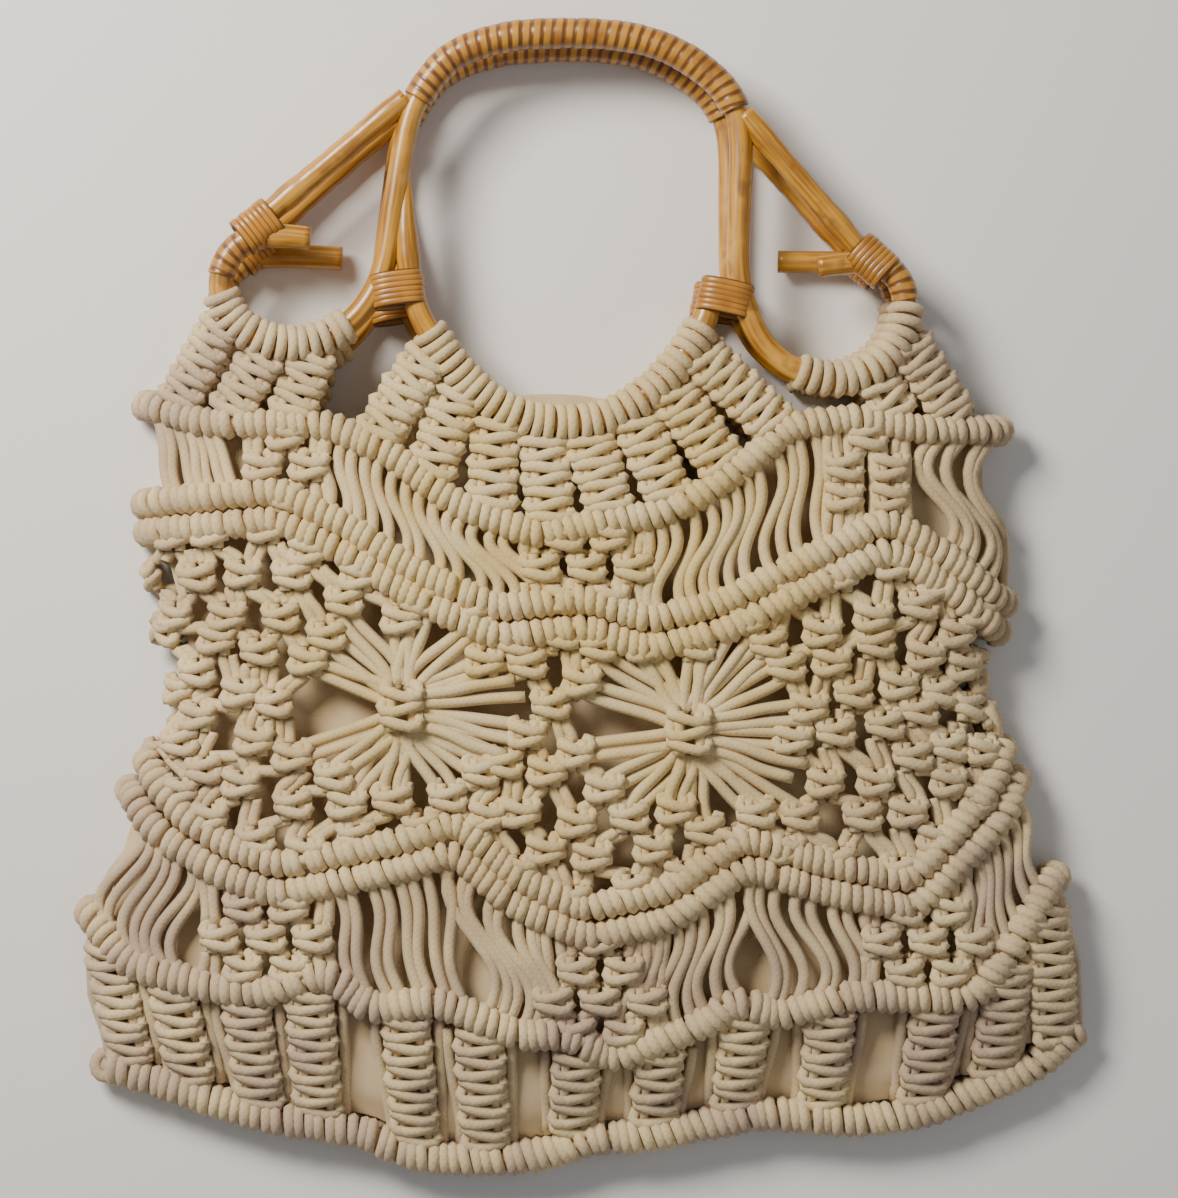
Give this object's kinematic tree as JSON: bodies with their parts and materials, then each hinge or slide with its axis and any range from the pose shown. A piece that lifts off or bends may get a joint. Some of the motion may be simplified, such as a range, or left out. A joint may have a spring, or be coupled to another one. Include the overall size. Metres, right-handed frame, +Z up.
{
  "type": "macrame handbag",
  "caption": "Knotted cotton cord handbag with a cloth lining, hung from two cane handle frames with side rings, lying on its back.",
  "frame": {"origin": "on the surface the bag lies on, under the middle of its overall box", "axes": "+X across the bag, +Y from the base to the handle arch, +Z up through the bag from back to front"},
  "size_m": [0.3714, 0.4288, 0.0348],
  "materials": {
    "cane": "satin",
    "cane_strip": "satin",
    "cotton_cord": "matte",
    "lining_cloth": "matte"
  },
  "bodies": {
    "root": {"front_grip_cane": "cane", "front_mouth_cane": "cane", "front_left_strut": "cane", "front_right_strut": "cane", "front_arch_binding": "cane_strip", "front_left_leg_binding": "cane_strip", "front_right_leg_binding": "cane_strip", "front_left_ring_binding": "cane_strip", "front_right_ring_binding": "cane_strip", "front_mouth_hitches": "cotton_cord", "front_left_ring_hitches": "cotton_cord", "front_right_ring_hitches": "cotton_cord", "back_grip_cane": "cane", "back_mouth_cane": "cane", "back_left_strut": "cane", "back_right_strut": "cane", "back_arch_binding": "cane_strip", "back_left_leg_binding": "cane_strip", "back_right_leg_binding": "cane_strip", "back_left_ring_binding": "cane_strip", "back_right_ring_binding": "cane_strip", "back_mouth_hitches": "cotton_cord", "back_left_ring_hitches": "cotton_cord", "back_right_ring_hitches": "cotton_cord", "rim_row": "cotton_cord", "shoulder_row": "cotton_cord", "hem_row": "cotton_cord", "skirt_row": "cotton_cord", "base_row": "cotton_cord", "yoke_net": "cotton_cord", "middle_net": "cotton_cord", "lower_net": "cotton_cord", "base_net": "cotton_cord", "lining": "lining_cloth"}
  },
  "joints": []
}
